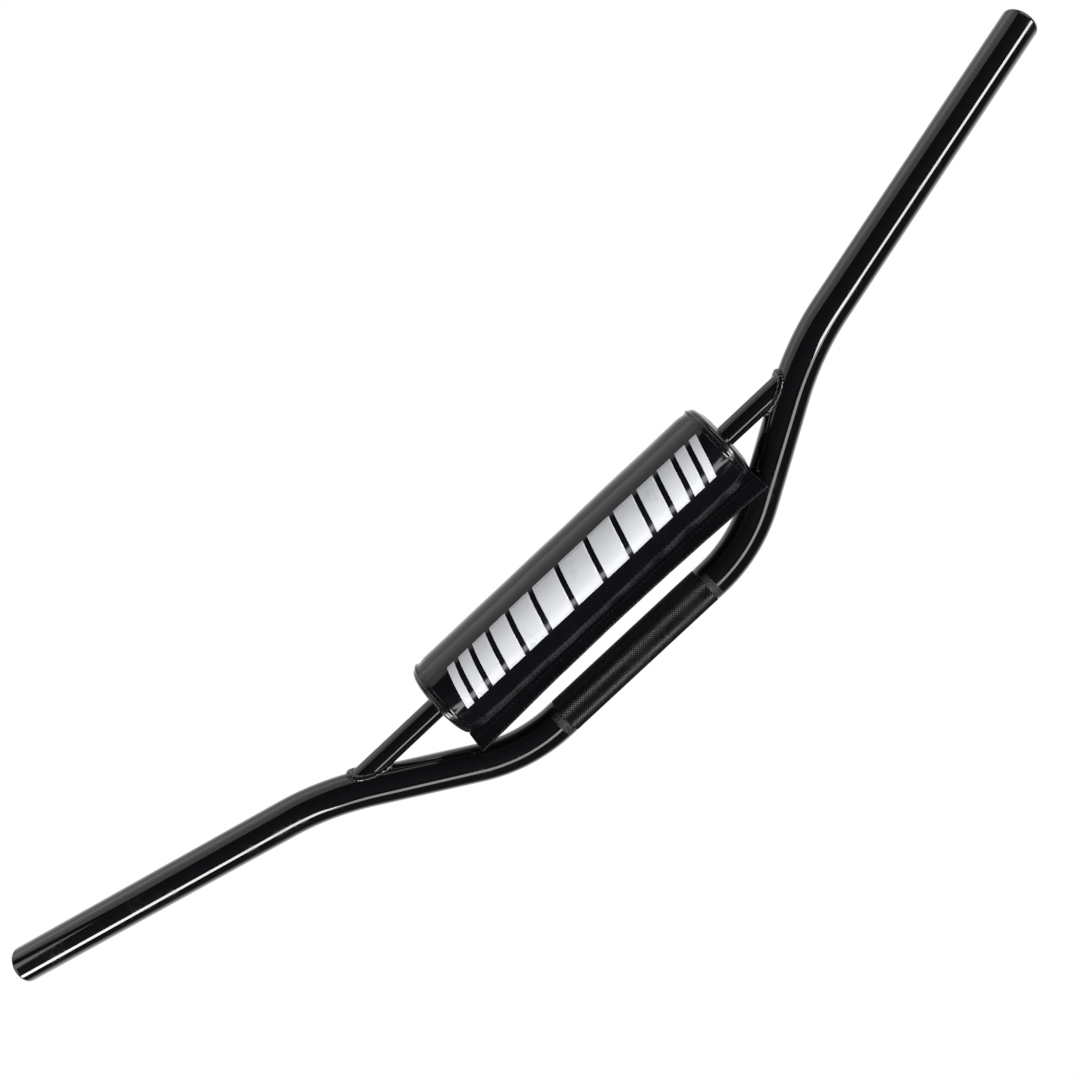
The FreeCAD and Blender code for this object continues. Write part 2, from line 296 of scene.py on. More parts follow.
def knurlPaint():
    look = knurlLook
    material, tree, shader = newMaterial("knurlPaint", Specular_IOR_Level=0.3)
    worn = use(tree, handlingScuff, "Mask", Scale=34.0, Amount=0.7)
    grain = use(tree, fineGrain, "Height", Scale=1800.0, Detail=3.0)
    colour = tint(tree, worn, look["dark"], look["worn"])
    wire(tree, shader, Base_Color=colour, Roughness=ramp(tree, worn, 0.0, 1.0, *look["rough"]),
         Normal=bump(tree, grain, strength=0.2, distance=0.05 * mm))
    return material


weldLook = {
    "dark": (0.005, 0.005, 0.0065, 1), "worn": (0.02, 0.02, 0.023, 1), "rough": (0.1, 0.26),
}


def weldPaint():
    look = weldLook
    material, tree, shader = newMaterial("weldPaint", Coat_Weight=0.5, Coat_Roughness=0.06)
    spatter = use(tree, fineGrain, "Height", Scale=700.0, Detail=4.0)
    scuff = use(tree, handlingScuff, "Mask", Scale=60.0, Amount=0.7)
    colour = tint(tree, scuff, look["dark"], look["worn"])
    wire(tree, shader, Base_Color=colour, Roughness=ramp(tree, scuff, 0.0, 1.0, *look["rough"]),
         Normal=bump(tree, spatter, strength=0.3, distance=0.25 * mm))
    return material


vinylLook = {
    "dark": (0.0032, 0.0029, 0.0044, 1), "creased": (0.006, 0.0055, 0.0082, 1),
    "dusty": (0.05, 0.05, 0.055, 1), "dust": 0.4,
}


def padVinyl(name, gloss, worn, depth):
    look = vinylLook
    material, tree, shader = newMaterial(name, Coat_Weight=0.35, Coat_Roughness=0.08)
    leather = use(tree, fineGrain, "Height", Scale=1300.0, Detail=3.0)
    creased = use(tree, fineGrain, "Height", Scale=90.0, Detail=4.0)
    scuff = use(tree, handlingScuff, "Mask", Scale=30.0, Amount=0.6)
    dust = use(tree, dustSpecks, "Mask", Scale=600.0, Size=0.1)
    colour = tint(tree, creased, look["dark"], look["creased"])
    colour = tint(tree, calc(tree, "MULTIPLY", dust, look["dust"]), colour, look["dusty"])
    normal = bump(tree, leather, strength=0.12, distance=0.06 * mm)
    normal = bump(tree, creased, strength=depth, distance=0.5 * mm, below=normal)
    wire(tree, shader, Base_Color=colour, Normal=normal,
         Roughness=calc(tree, "MULTIPLY_ADD", scuff, worn - gloss, gloss))
    return material


def wovenTape(name, dark, light, pitch):
    material, tree, shader = newMaterial(name, Sheen_Weight=0.25, Sheen_Roughness=0.4)
    ribs = use(tree, tapeWeave, "Height", Pitch=pitch)
    fuzz = use(tree, fineGrain, "Height", Scale=3200.0, Detail=4.0)
    colour = tint(tree, calc(tree, "MULTIPLY", ribs, fuzz), dark, light)
    normal = bump(tree, ribs, strength=0.5, distance=0.15 * mm)
    normal = bump(tree, fuzz, strength=0.35, distance=0.1 * mm, below=normal)
    wire(tree, shader, Base_Color=colour, Normal=normal,
         Roughness=ramp(tree, fuzz, 0.2, 0.8, toLow=0.6, toHigh=0.85))
    return material


threadLook = {"dark": (0.003, 0.003, 0.0035, 1), "light": (0.012, 0.012, 0.014, 1)}


def sewingThread():
    material, tree, shader = newMaterial("sewingThread", Specular_IOR_Level=0.3)
    twist = use(tree, tapeWeave, "Height", Pitch=9000.0)
    colour = tint(tree, twist, threadLook["dark"], threadLook["light"])
    wire(tree, shader, Base_Color=colour, Normal=bump(tree, twist, strength=0.5, distance=0.05 * mm),
         Roughness=ramp(tree, twist, 0.0, 1.0, toLow=0.55, toHigh=0.75))
    return material


foamLook = {
    # pitShade is painted shade, darker down in the foam's cells
    "pitShade": (0.02, 0.02, 0.022, 1), "wall": (0.07, 0.07, 0.075, 1),
    "faded": (0.045, 0.045, 0.05, 1), "fade": 0.5,
}


def padFoam():
    look = foamLook
    material, tree, shader = newMaterial("padFoam", Specular_IOR_Level=0.3)
    cells = addNode(tree, "ShaderNodeTexVoronoi", Vector=objectPlace(tree), Scale=1100.0)
    shade = use(tree, fineGrain, "Height", Scale=220.0, Detail=4.0)
    # darker in the cell pits, where the bump sinks: painted shade; lighter on the walls between them
    colour = tint(tree, cells.outputs["Distance"], look["pitShade"], look["wall"])
    colour = tint(tree, calc(tree, "MULTIPLY", shade, look["fade"]), colour, look["faded"])
    wire(tree, shader, Base_Color=colour, Roughness=ramp(tree, shade, 0.2, 0.8, toLow=0.85, toHigh=0.97),
         Normal=bump(tree, cells.outputs["Distance"], strength=0.7, distance=0.4 * mm))
    return material


inkLook = {
    "white": (0.88, 0.9, 0.93, 1), "thin": (0.82, 0.84, 0.88, 1),
    "rubbedAndLitFront": (0.5, 0.51, 0.56, 1), "rub": 0.35,
}


def printInk():
    look = inkLook
    material, tree, shader = newMaterial("printInk", Coat_Weight=0.2, Coat_Roughness=0.2)
    film = use(tree, fineGrain, "Height", Scale=1400.0, Detail=3.0)
    rub = use(tree, handlingScuff, "Mask", Scale=48.0, Amount=0.5)
    colour = tint(tree, film, look["thin"], look["white"])
    colour = tint(tree, calc(tree, "MULTIPLY", rub, look["rub"]), colour, look["rubbedAndLitFront"])
    wire(tree, shader, Base_Color=colour, Normal=bump(tree, film, strength=0.1, distance=0.05 * mm),
         Roughness=ramp(tree, rub, 0.0, 1.0, toLow=0.3, toHigh=0.46))
    return material


paint, knurled, weldSkin = barPaint(), knurlPaint(), weldPaint()
vinyl = padVinyl("padVinyl", gloss=0.16, worn=0.27, depth=0.1)
closureVinyl = padVinyl("closureVinyl", gloss=0.2, worn=0.34, depth=0.45)
binding = padVinyl("hemBinding", gloss=0.1, worn=0.2, depth=0.14)
hookWeave = wovenTape("hookWeave", dark=(0.006, 0.006, 0.007, 1), light=(0.03, 0.03, 0.032, 1),
                      pitch=5200.0)
loopWeave = wovenTape("loopWeave", dark=(0.008, 0.008, 0.009, 1), light=(0.045, 0.045, 0.05, 1),
                      pitch=3600.0)
thread, foam, ink = sewingThread(), padFoam(), printInk()
print("materials made")

barShape = {
    "radius": 11.1 * mm, "bore": 9.1 * mm, "lip": 3.0 * mm,
    "corners": [Vector((0, 0, 0)), Vector((86.5, 0, 0)) * mm,
                Vector((184.4, 0, 63)) * mm, Vector((403.8, 56, 98)) * mm],
    "bends": [90 * mm, 110 * mm],
    "knurlHalf": 55.3 * mm, "recess": 0.4 * mm, "shoulder": 0.3 * mm,
    "around": 64, "bendSteps": 18, "lipSteps": 6,
}


def roundCorner(before, corner, after, radius):
    come, leave = (corner - before).normalized(), (after - corner).normalized()
    turn = come.angle(leave)
    reach = radius * math.tan(turn / 2)
    axis = come.cross(leave).normalized()
    start = corner - come * reach
    return start, corner + leave * reach, start + axis.cross(come) * radius, axis, turn


def pushRing(bm, ring, offset, centre=None, scale=1.0):
    grown = bmesh.ops.extrude_edge_only(bm, edges=pickEdges(ring))["geom"]
    fresh = [v for v in grown if isinstance(v, bmesh.types.BMVert)]
    if scale != 1.0:
        bmesh.ops.scale(bm, vec=(scale,) * 3, verts=fresh, space=Matrix.Translation(-centre))
    bmesh.ops.translate(bm, vec=offset, verts=fresh)
    return fresh


def spinRing(bm, ring, centre, axis, angle, steps):
    turned = bmesh.ops.spin(bm, geom=ring + pickEdges(ring), cent=centre, axis=axis,
                            angle=angle, steps=steps, dvec=(0, 0, 0))
    return [v for v in turned["geom_last"] if isinstance(v, bmesh.types.BMVert)]


def buildMainTube():
    shape = barShape
    root, low, high, tip = shape["corners"]
    lower = roundCorner(root, low, high, shape["bends"][0])
    upper = roundCorner(low, high, tip, shape["bends"][1])
    outDir = (tip - high).normalized()
    bm = bmesh.new()
    facing = Matrix.Rotation(math.pi / 2, 4, "Y")
    start = shape["radius"] - shape["recess"]
    ring = bmesh.ops.create_circle(bm, segments=shape["around"], radius=start,
                                   matrix=facing)["verts"]
    knurlEnd = Vector((shape["knurlHalf"], 0, 0))
    shoulder = Vector((shape["shoulder"], 0, 0))
    ring = pushRing(bm, ring, knurlEnd)
    ring = pushRing(bm, ring, shoulder, knurlEnd, shape["radius"] / start)
    ring = pushRing(bm, ring, lower[0] - knurlEnd - shoulder)
    ring = spinRing(bm, ring, lower[2], lower[3], lower[4], shape["bendSteps"])
    ring = pushRing(bm, ring, upper[0] - lower[1])
    ring = spinRing(bm, ring, upper[2], upper[3], upper[4], shape["bendSteps"])
    lipStart = tip - outDir * shape["lip"]
    ring = pushRing(bm, ring, lipStart - upper[1])
    # The rounded lip runs in to the bore, then the same path leads back inside.
    last = math.acos(1 - (shape["radius"] - shape["bore"]) / shape["lip"])
    radius, depth, centre = shape["radius"], 0.0, lipStart
    for step in range(1, shape["lipSteps"] + 1):
        angle = last * step / shape["lipSteps"]
        nextRadius = shape["radius"] - shape["lip"] * (1 - math.cos(angle))
        nextDepth = shape["lip"] * math.sin(angle)
        ring = pushRing(bm, ring, outDir * (nextDepth - depth), centre, nextRadius / radius)
        radius, depth = nextRadius, nextDepth
        centre = lipStart + outDir * depth
    ring = pushRing(bm, ring, upper[1] - centre)
    ring = spinRing(bm, ring, upper[2], upper[3], -upper[4], shape["bendSteps"])
    ring = pushRing(bm, ring, lower[1] - upper[0])
    ring = spinRing(bm, ring, lower[2], lower[3], -lower[4], shape["bendSteps"])
    pushRing(bm, ring, root - lower[0])
    bmesh.ops.mirror(bm, geom=bm.verts[:] + bm.edges[:] + bm.faces[:], axis="X",
                     matrix=Matrix.Identity(4), merge_dist=merged)
    closeShell(bm)
    return newPiece("mainTube", bm, paint, "bar", ["main_tube"])


knurlShape = {
    "rows": 140, "around": 88, "valley": 10.8 * mm, "peak": 11.1 * mm, "seat": 10.7 * mm,
}


def rollGrid(bm, rows, around, place):
    # A flat grid whose point (i, j) is moved to place(i, j).
    bmesh.ops.create_grid(bm, x_segments=rows, y_segments=around, size=1)
    for v in bm.verts:
        i = round((v.co.x + 1) / 2 * rows)
        j = round((v.co.y + 1) / 2 * around)
        v.co = place(i, j)


def buildKnurl():
    shape = knurlShape
    half = barShape["knurlHalf"]
    bm = bmesh.new()
    low = bm.verts.layers.int.new("low")

    def place(i, j):
        radius = shape["valley"] if (i + j) % 2 == 0 else shape["peak"]
        if i in (0, shape["rows"]):
            radius = shape["seat"]
        angle = 2 * math.pi * j / shape["around"]
        return Vector((half * (2 * i / shape["rows"] - 1),
                       radius * math.cos(angle), radius * math.sin(angle)))

    rollGrid(bm, shape["rows"], shape["around"], place)
    bmesh.ops.remove_doubles(bm, verts=bm.verts, dist=merged)
    middle = (shape["valley"] + shape["peak"]) / 2
    for v in bm.verts:
        v[low] = math.hypot(v.co.y, v.co.z) < middle
    # Each face is split from valley to valley, which leaves four-sided points.
    groups = {"FIXED": [], "ALTERNATE": []}
    for face in bm.faces:
        first = face.loops[0].vert
        groups["FIXED" if first[low] else "ALTERNATE"].append(face)
    for method, faces in groups.items():
        bmesh.ops.triangulate(bm, faces=faces, quad_method=method)
    bmesh.ops.recalc_face_normals(bm, faces=bm.faces)
    return newPiece("knurlBand", bm, knurled, "bar", smooth=False)


weldShape = {
    "reach": 2.0 * mm, "ripple": 0.1 * mm, "ripples": 23, "lean": 0.8,
    "lump": 0.12 * mm, "lumpScale": 0.3, "steps": 152, "section": 14, "startX": 120 * mm,
}


def buildWeld(name, side, node, tree):
    # A rippled bead along the line where the crossbar's surface meets the tube.
    shape = weldShape
    low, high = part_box("crossbar")
    axisZ, radius = (low.z + high.z) / 2, (high.z - low.z) / 2

    def seat(turn):
        start = Vector((side * shape["startX"], radius * math.cos(turn),
                        axisZ + radius * math.sin(turn)))
        return tree.ray_cast(start, Vector((side, 0, 0)))[0]

    def place(i, j):
        turn = 2 * math.pi * i / shape["steps"]
        small = math.pi / shape["steps"]
        centre, along = seat(turn), (seat(turn + small) - seat(turn - small)).normalized()
        outward = Vector((0, math.cos(turn), math.sin(turn)))
        outward = (outward - along * outward.dot(along)).normalized()
        across = along.cross(outward)
        around = 2 * math.pi * j / shape["section"]
        wave = math.cos(shape["ripples"] * turn + shape["lean"] * math.cos(around))
        lump = shape["lump"] * noise.noise(centre / mm * shape["lumpScale"])
        reach = shape["reach"] + shape["ripple"] * wave + lump
        return centre + (outward * math.cos(around) + across * math.sin(around)) * reach

    bm = bmesh.new()
    rollGrid(bm, shape["steps"], shape["section"], place)
    closeShell(bm)
    return newPiece(name, bm, weldSkin, "bar", [node])


mainTube = buildMainTube()
buildKnurl()
tubeTree = BVHTree.FromObject(mainTube, bpy.context.evaluated_depsgraph_get())
buildWeld("weldLeft", -1, "weld_left", tubeTree)
buildWeld("weldRight", 1, "weld_right", tubeTree)
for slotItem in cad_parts["crossbar"].material_slots:
    slotItem.material = paint
print("bar, knurling and welds made")

foamLow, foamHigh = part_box("foam_core")
padMiddle = (foamLow + foamHigh) / 2
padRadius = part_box("cover_wrap")[1].y
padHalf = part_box("end_panel_right")[1].x - padMiddle.x
padTilt = math.radians(-30)
padPlace = Matrix.Translation(padMiddle) @ Matrix.Rotation(padTilt, 4, "X")

coverShape = {
    "rows": 110, "around": 132, "skin": 1.2 * mm, "slitHalf": 1.1 * mm, "endRound": 3.5 * mm,
    "corner": 2.42, "fade": 9 * mm, "neck": 1.3 * mm, "neckWidth": math.radians(8),
    "flatness": 0.75, "pucker": 0.22 * mm, "puckers": 31, "puckerReach": 5 * mm,
    "wander": 0.28 * mm, "wanderLength": 40, "wanderRound": 1.4,
    "flatSide": math.radians(199),  # middle of one flattened side, 19 degrees below -Y
    "simSteps": 20, "pressure": 4.0, "tension": 40, "cap": 0.7 * mm,
}


def coverRadius(x, angle):
    # Round at the ends, flatter on four sides between them, with a neck at the closure.
    shape = coverShape
    edge = padHalf - shape["endRound"] - abs(x)
    level = min(1.0, max(0.0, edge / shape["fade"]))
    level = level * level * (3 - 2 * level)
    turn = angle + padTilt - shape["flatSide"]
    power = shape["corner"]
    square = (abs(math.cos(turn)) ** power + abs(math.sin(turn)) ** power) ** (-1 / power)
    radius = padRadius * (1 + (square - 1) * level * shape["flatness"])
    down = (angle + math.pi / 2 + math.pi) % (2 * math.pi) - math.pi
    radius += shape["neck"] * level * math.exp(-(down / shape["neckWidth"]) ** 2)
    pull = math.exp(-max(0.0, edge) / shape["puckerReach"])
    radius -= shape["pucker"] * pull * (0.5 + 0.5 * math.cos(shape["puckers"] * angle))
    place = Vector((x / mm / shape["wanderLength"],
                    math.cos(angle) * shape["wanderRound"], math.sin(angle) * shape["wanderRound"]))
    return radius + shape["wander"] * level * noise.noise(place)


def polar(x, angle, radius):
    return Vector((x, radius * math.cos(angle), radius * math.sin(angle)))


def buildCover():
    shape = coverShape
    half = padHalf - shape["endRound"]
    gap = math.asin(shape["slitHalf"] / padRadius)

    def place(i, j):
        x = half * (2 * i / shape["rows"] - 1)
        angle = -math.pi / 2 + gap + (2 * math.pi - 2 * gap) * j / shape["around"]
        return padPlace @ polar(x, angle, coverRadius(x, angle))

    bm = bmesh.new()
    rollGrid(bm, shape["rows"], shape["around"], place)
    bmesh.ops.recalc_face_normals(bm, faces=bm.faces)
    outward = sum((f.normal.dot(f.calc_center_median() - padMiddle) for f in bm.faces), 0.0)
    if outward < 0:
        bmesh.ops.reverse_faces(bm, faces=bm.faces)
    return newPiece("coverWrap", bm, vinyl, "cover", ["cover_wrap"])


def rimPoints(piece):
    bm = bmesh.new()
    bm.from_mesh(piece.data)
    points = {v.index for edge in bm.edges if edge.is_boundary for v in edge.verts}
    bm.free()
    return sorted(points)


def inflate(piece, shape):
    # The free skin swells under its filling; its edges stay sewn and no point moves past the cap.
    start = [v.co.copy() for v in piece.data.vertices]
    pins = piece.vertex_groups.new(name="sewn")
    pins.add(rimPoints(piece), 1.0, "REPLACE")
    cloth = piece.modifiers.new("cloth", "CLOTH")
    cloth.settings.vertex_group_mass = "sewn"
    cloth.settings.use_pressure = True
    cloth.settings.uniform_pressure_force = shape["pressure"]
    cloth.settings.effector_weights.gravity = 0.0
    cloth.settings.tension_stiffness = shape["tension"]
    cloth.point_cache.frame_end = shape["simSteps"]
    scene = bpy.context.scene
    for step in range(1, shape["simSteps"] + 1):
        scene.frame_set(step)
    swollen = finalMesh(piece)
    moved = [v.co.copy() for v in swollen.vertices]
    piece.modifiers.remove(cloth)
    piece.vertex_groups.remove(pins)
    scene.frame_set(1)
    for v, old, new in zip(piece.data.vertices, start, moved):
        shift = new - old
        if shift.length > shape["cap"]:
            shift *= shape["cap"] / shift.length
        v.co = old + shift
    bpy.data.meshes.remove(swollen)
    piece.data.update()


coverWrap = buildCover()
inflate(coverWrap, coverShape)
coverTree = BVHTree.FromObject(coverWrap, bpy.context.evaluated_depsgraph_get())
thicken(coverWrap, coverShape["skin"])
print("cover made")


def spunPiece(name, outline, gapHalf, steps, material, body, replaced, gather=None):
    # An outline of (x, radius) points, turned about the pad's axis from side to side of the slit.
    bm = bmesh.new()
    gap = math.asin(gapHalf / max(point[1] for point in outline))
    begin = -math.pi / 2 + gap
    ring = [bm.verts.new(polar(x, begin, radius)) for x, radius in outline]
    edges = [bm.edges.new(pair) for pair in zip(ring, ring[1:] + ring[:1])]
    bm.faces.new(ring)
    turned = bmesh.ops.spin(bm, geom=ring + edges, cent=(0, 0, 0), axis=(1, 0, 0),
                            angle=2 * math.pi - 2 * gap, steps=steps, dvec=(0, 0, 0))
    bm.faces.new([v for v in turned["geom_last"] if isinstance(v, bmesh.types.BMVert)])
    closeShell(bm)
    if gather:
        for v in bm.verts:
            v.co.x += gather(math.hypot(v.co.y, v.co.z), math.atan2(v.co.z, v.co.y))
    bmesh.ops.transform(bm, matrix=padPlace, verts=bm.verts)
    return newPiece(name, bm, material, body, replaced)


def arcPoints(centre, radius, first, last, steps):
    angles = [math.radians(first + (last - first) * k / steps) for k in range(steps + 1)]
    return [(centre[0] + radius * math.cos(angle), centre[1] + radius * math.sin(angle))
            for angle in angles]


foamShape = {
    "radius": 22.2 * mm, "bore": 6.45 * mm, "shoulder": 2.3 * mm, "endGap": 1.5 * mm,
    "slitHalf": 0.5 * mm, "roundSteps": 4, "turnSteps": 96,
}


def buildFoam():
    shape = foamShape
    end = padHalf - shape["endGap"]
    low = shape["radius"] - shape["shoulder"]
    outline = [(-end, shape["bore"]), (end, shape["bore"])]
    outline += arcPoints((end - shape["shoulder"], low), shape["shoulder"], 0, 90,
                         shape["roundSteps"])
    outline += arcPoints((shape["shoulder"] - end, low), shape["shoulder"], 90, 180,
                         shape["roundSteps"])
    return spunPiece("foamCore", outline, shape["slitHalf"], shape["turnSteps"], foam, "foam",
                     ["foam_core"])


panelShape = {
    "mouth": 6.9 * mm, "skin": 1.2 * mm, "round": 3.5 * mm, "slitHalf": 1.1 * mm, "rings": 7,
    "crown": {-1: 0.4 * mm, 1: 1.7 * mm},  # the left end is nearly flat, the right end domed
    "mouthEdge": 0.35 * mm, "pleat": 0.16 * mm, "pleats": 17, "pleatReach": 4.5 * mm,
    "roundSteps": 6, "turnSteps": 136,
}


def buildPanel(name, side, node):
    shape = panelShape
    low = padRadius - shape["round"]
    rim = side * (padHalf - shape["round"])
    first, last = (0, 90) if side > 0 else (180, 90)
    outer = arcPoints((rim, low), shape["round"], first, last, shape["roundSteps"])
    inner = arcPoints((rim, low), shape["round"] - shape["skin"], last, first, shape["roundSteps"])
    outline = [(side * (padHalf - shape["skin"]), shape["mouth"])]
    outline += [(side * (padHalf - shape["mouthEdge"]), shape["mouth"])]
    start = shape["mouth"] + shape["mouthEdge"]
    for ring in range(shape["rings"]):
        share = ring / shape["rings"]
        crown = shape["crown"][side] * math.sin(math.pi * share)
        outline.append((side * (padHalf + crown), start + (low - start) * share))

    def pleats(radius, angle):  # the vinyl is drawn in round the mouth
        pull = math.exp(-max(0.0, radius - shape["mouth"]) / shape["pleatReach"])
        return side * shape["pleat"] * pull * math.cos(shape["pleats"] * angle)

    return spunPiece(name, outline + outer + inner, shape["slitHalf"], shape["turnSteps"], vinyl,
                     "cover", [node], pleats)


hemShape = {
    "width": 3.2 * mm, "height": 0.95 * mm, "sink": 0.7 * mm, "lower": 0.1 * mm,
    "inset": 4.5 * mm, "gapHalf": 4.0 * mm, "crownSteps": 8, "turnSteps": 120,
}


def buildHem(name, side, node):
    shape = hemShape
    middle = side * (padHalf - shape["inset"])
    crown = arcPoints((0, 0), 1.0, 0, 180, shape["crownSteps"])
    outline = [(middle + x * shape["width"] / 2,
                padRadius + y * shape["height"] - shape["lower"]) for x, y in crown]
    outline += [(middle - shape["width"] / 2, padRadius - shape["sink"]),
                (middle + shape["width"] / 2, padRadius - shape["sink"])]
    return spunPiece(name, outline, shape["gapHalf"], shape["turnSteps"], binding, "cover",
                     [node])


stitchShape = {
    "pitch": 3.0 * mm, "length": 2.2 * mm, "radius": 0.24 * mm, "bury": 0.12 * mm,
    "endClear": 0.02,  # radians left bare at each end of a hem's row
}


def addStitch(bm, middle, along, shape):
    made = bmesh.ops.create_icosphere(bm, subdivisions=1, radius=shape["radius"])["verts"]
    stretch = Matrix.Diagonal((shape["length"] / shape["radius"] / 2, 1, 1, 1))
    turn = along.to_track_quat("X", "Z").to_matrix().to_4x4()
    bmesh.ops.transform(bm, matrix=Matrix.Translation(middle) @ turn @ stretch, verts=made)


def buildHemStitches(name, side, node):
    shape = stitchShape
    bm = bmesh.new()
    radius = padRadius + hemShape["height"]
    x = side * (padHalf - hemShape["inset"])
    gap = hemShape["gapHalf"] / radius + shape["endClear"]
    count = int((2 * math.pi - 2 * gap) * radius / shape["pitch"])
    for k in range(count):
        angle = -math.pi / 2 + gap + (2 * math.pi - 2 * gap) * (k + 0.5) / count
        middle = polar(x, angle, radius - shape["bury"])
        addStitch(bm, middle, Vector((0, -math.sin(angle), math.cos(angle))), shape)
    bmesh.ops.transform(bm, matrix=padPlace, verts=bm.verts)
    return newPiece(name, bm, thread, "cover", [node])


buildFoam()
buildPanel("endPanelLeft", -1, "end_panel_left")
buildPanel("endPanelRight", 1, "end_panel_right")
for label, side in (("Left", -1), ("Right", 1)):
    buildHem("hem" + label, side, "hem_" + label.lower())
    buildHemStitches("hemStitches" + label, side, "thread_" + label.lower())
print("foam, end panels and hems made")

closureShape = {
    "half": 107.5 * mm, "tip": 36.8 * mm, "top": 24.2 * mm, "fold": 27.0 * mm, "foldHalf": 1.8 * mm,
    "faceMiddle": 1.7 * mm, "skin": 1.1 * mm, "edge": 0.25 * mm, "bow": 2.3 * mm,
    "wave": 0.5 * mm, "waveLength": 22, "waveRow": 3.1,  # a row picks one line of the noise
    "ripple": 0.22 * mm, "rippleLength": 6, "rippleDepth": 9, "rippleRow": 8.7,
    "tapeTop": 28.0 * mm, "tapeMargin": 1.2 * mm, "tapeMiddle": 0.62 * mm, "tapeThick": 0.8 * mm,
    "rows": 172, "down": 14, "ear": 0.8 * mm, "earPower": 20,
    "seams": (0.1, 0.86),  # the two stitch rows, as shares of the tape's depth
}


def closureWave(x, depth):
    # Both plies and both tapes lie in one shallow wave along the closure.
    shape = closureShape
    low = (depth - shape["top"]) / (shape["tip"] - shape["top"])
    slow = noise.noise(Vector((x / mm / shape["waveLength"], shape["waveRow"], 0)))
    quick = noise.noise(Vector((x / mm / shape["rippleLength"], shape["rippleRow"],
                                depth / mm / shape["rippleDepth"])))
    return (shape["wave"] * 2 * slow + shape["ripple"] * 2 * quick) * low


def closureDepth(x, share, top):
    shape = closureShape
    bowed = shape["tip"] - shape["bow"] * max(0.0, 1 - (x / shape["half"]) ** 2)
    return top + (bowed - top) * share


def buildPly(name, side, body, replaced):
    shape = closureShape

    def place(i, j):
        share = j / shape["down"]
        along = 2 * i / shape["rows"] - 1
        x = along * (shape["half"] + shape["ear"] * share * abs(along) ** shape["earPower"])
        depth = closureDepth(x, share, shape["top"])
        return Vector((x, side * shape["faceMiddle"] + closureWave(x, depth), -depth))

    bm = bmesh.new()
    rollGrid(bm, shape["rows"], shape["down"], place)
    bmesh.ops.transform(bm, matrix=padPlace, verts=bm.verts)
    piece = newPiece(name, bm, closureVinyl, body, replaced)
    thicken(piece, shape["skin"], 0.0)
    rim = piece.modifiers.new("edge", "BEVEL")
    rim.width, rim.segments = shape["edge"], 2
    settle(piece)
    return piece


def buildTape(name, side, material, body, replaced):
    shape = closureShape
    half = shape["half"] - shape["tapeMargin"]

    def place(i, j):
        x = half * (2 * i / shape["rows"] - 1)
        depth = closureDepth(x, j / shape["down"], shape["tapeTop"])
        depth -= shape["tapeMargin"] * j / shape["down"]
        return Vector((x, side * shape["tapeMiddle"] + closureWave(x, depth), -depth))

    bm = bmesh.new()
    rollGrid(bm, shape["rows"], shape["down"], place)
    bmesh.ops.transform(bm, matrix=padPlace, verts=bm.verts)
    piece = newPiece(name, bm, material, body, replaced)
    thicken(piece, shape["tapeThick"], 0.0)
    settle(piece)
    return piece


def tapeStitches(name, side, body, replaced):
    shape, closure = stitchShape, closureShape
    half = closure["half"] - closure["tapeMargin"]
    count = int(2 * half / shape["pitch"])
    face = side * (closure["faceMiddle"] + closure["skin"] / 2 + shape["bury"])
    bm = bmesh.new()
    for share in closure["seams"]:
        for k in range(count):
            x = half * (2 * (k + 0.5) / count - 1)
            depth = closureDepth(x, share, closure["tapeTop"])
            addStitch(bm, Vector((x, face + closureWave(x, depth), -depth)), Vector((1, 0, 0)), shape)
    bmesh.ops.transform(bm, matrix=padPlace, verts=bm.verts)
    return newPiece(name, bm, thread, body, replaced)


hookShape = {
    "pitch": 2.2 * mm, "rows": 4, "radius": 0.13 * mm, "tall": 0.24 * mm, "flare": 1.5, "sides": 5,
}
pileShape = {"pitch": 1.7 * mm, "rows": 5, "radius": 0.34 * mm, "tall": 0.16 * mm}
rowShape = {"lead": 0.25, "stagger": 0.5, "firstRow": 0.7, "spareRows": 0.6}  # in pitches and rows


def addHook(bm, shape):
    made = bmesh.ops.create_cone(bm, segments=shape["sides"], radius1=shape["radius"],
                                 radius2=shape["radius"] * shape["flare"], depth=shape["tall"],
                                 cap_ends=True)["verts"]
    return made, Matrix.Rotation(-math.pi / 2, 4, "X")


def addTuft(bm, shape):
    made = bmesh.ops.create_icosphere(bm, subdivisions=1, radius=shape["radius"])["verts"]
    return made, Matrix.Diagonal((1, shape["tall"] / shape["radius"], 1, 1))


def tapeTufts(name, side, shape, addOne, material, body):
    # Small stems on the hook tape, low tufts on the loop tape, both on the tapes' facing sides.
    closure = closureShape
    half = closure["half"] - 2 * closure["tapeMargin"]
    count = int(2 * half / shape["pitch"])
    face = closure["tapeMiddle"] - closure["tapeThick"] / 2
    bm = bmesh.new()
    for row in range(shape["rows"]):
        for k in range(count):
            across = k + rowShape["lead"] + rowShape["stagger"] * (row % 2)
            x = half * (2 * across / count - 1)
            share = (row + rowShape["firstRow"]) / (shape["rows"] + rowShape["spareRows"])
            depth = closureDepth(x, share, closure["tapeTop"])
            middle = Vector((x, side * (face - shape["tall"] / 2) + closureWave(x, depth), -depth))
            made, turn = addOne(bm, shape)
            bmesh.ops.transform(bm, matrix=Matrix.Translation(middle) @ turn, verts=made)
    bmesh.ops.transform(bm, matrix=padPlace, verts=bm.verts)
    return newPiece(name, bm, material, body)


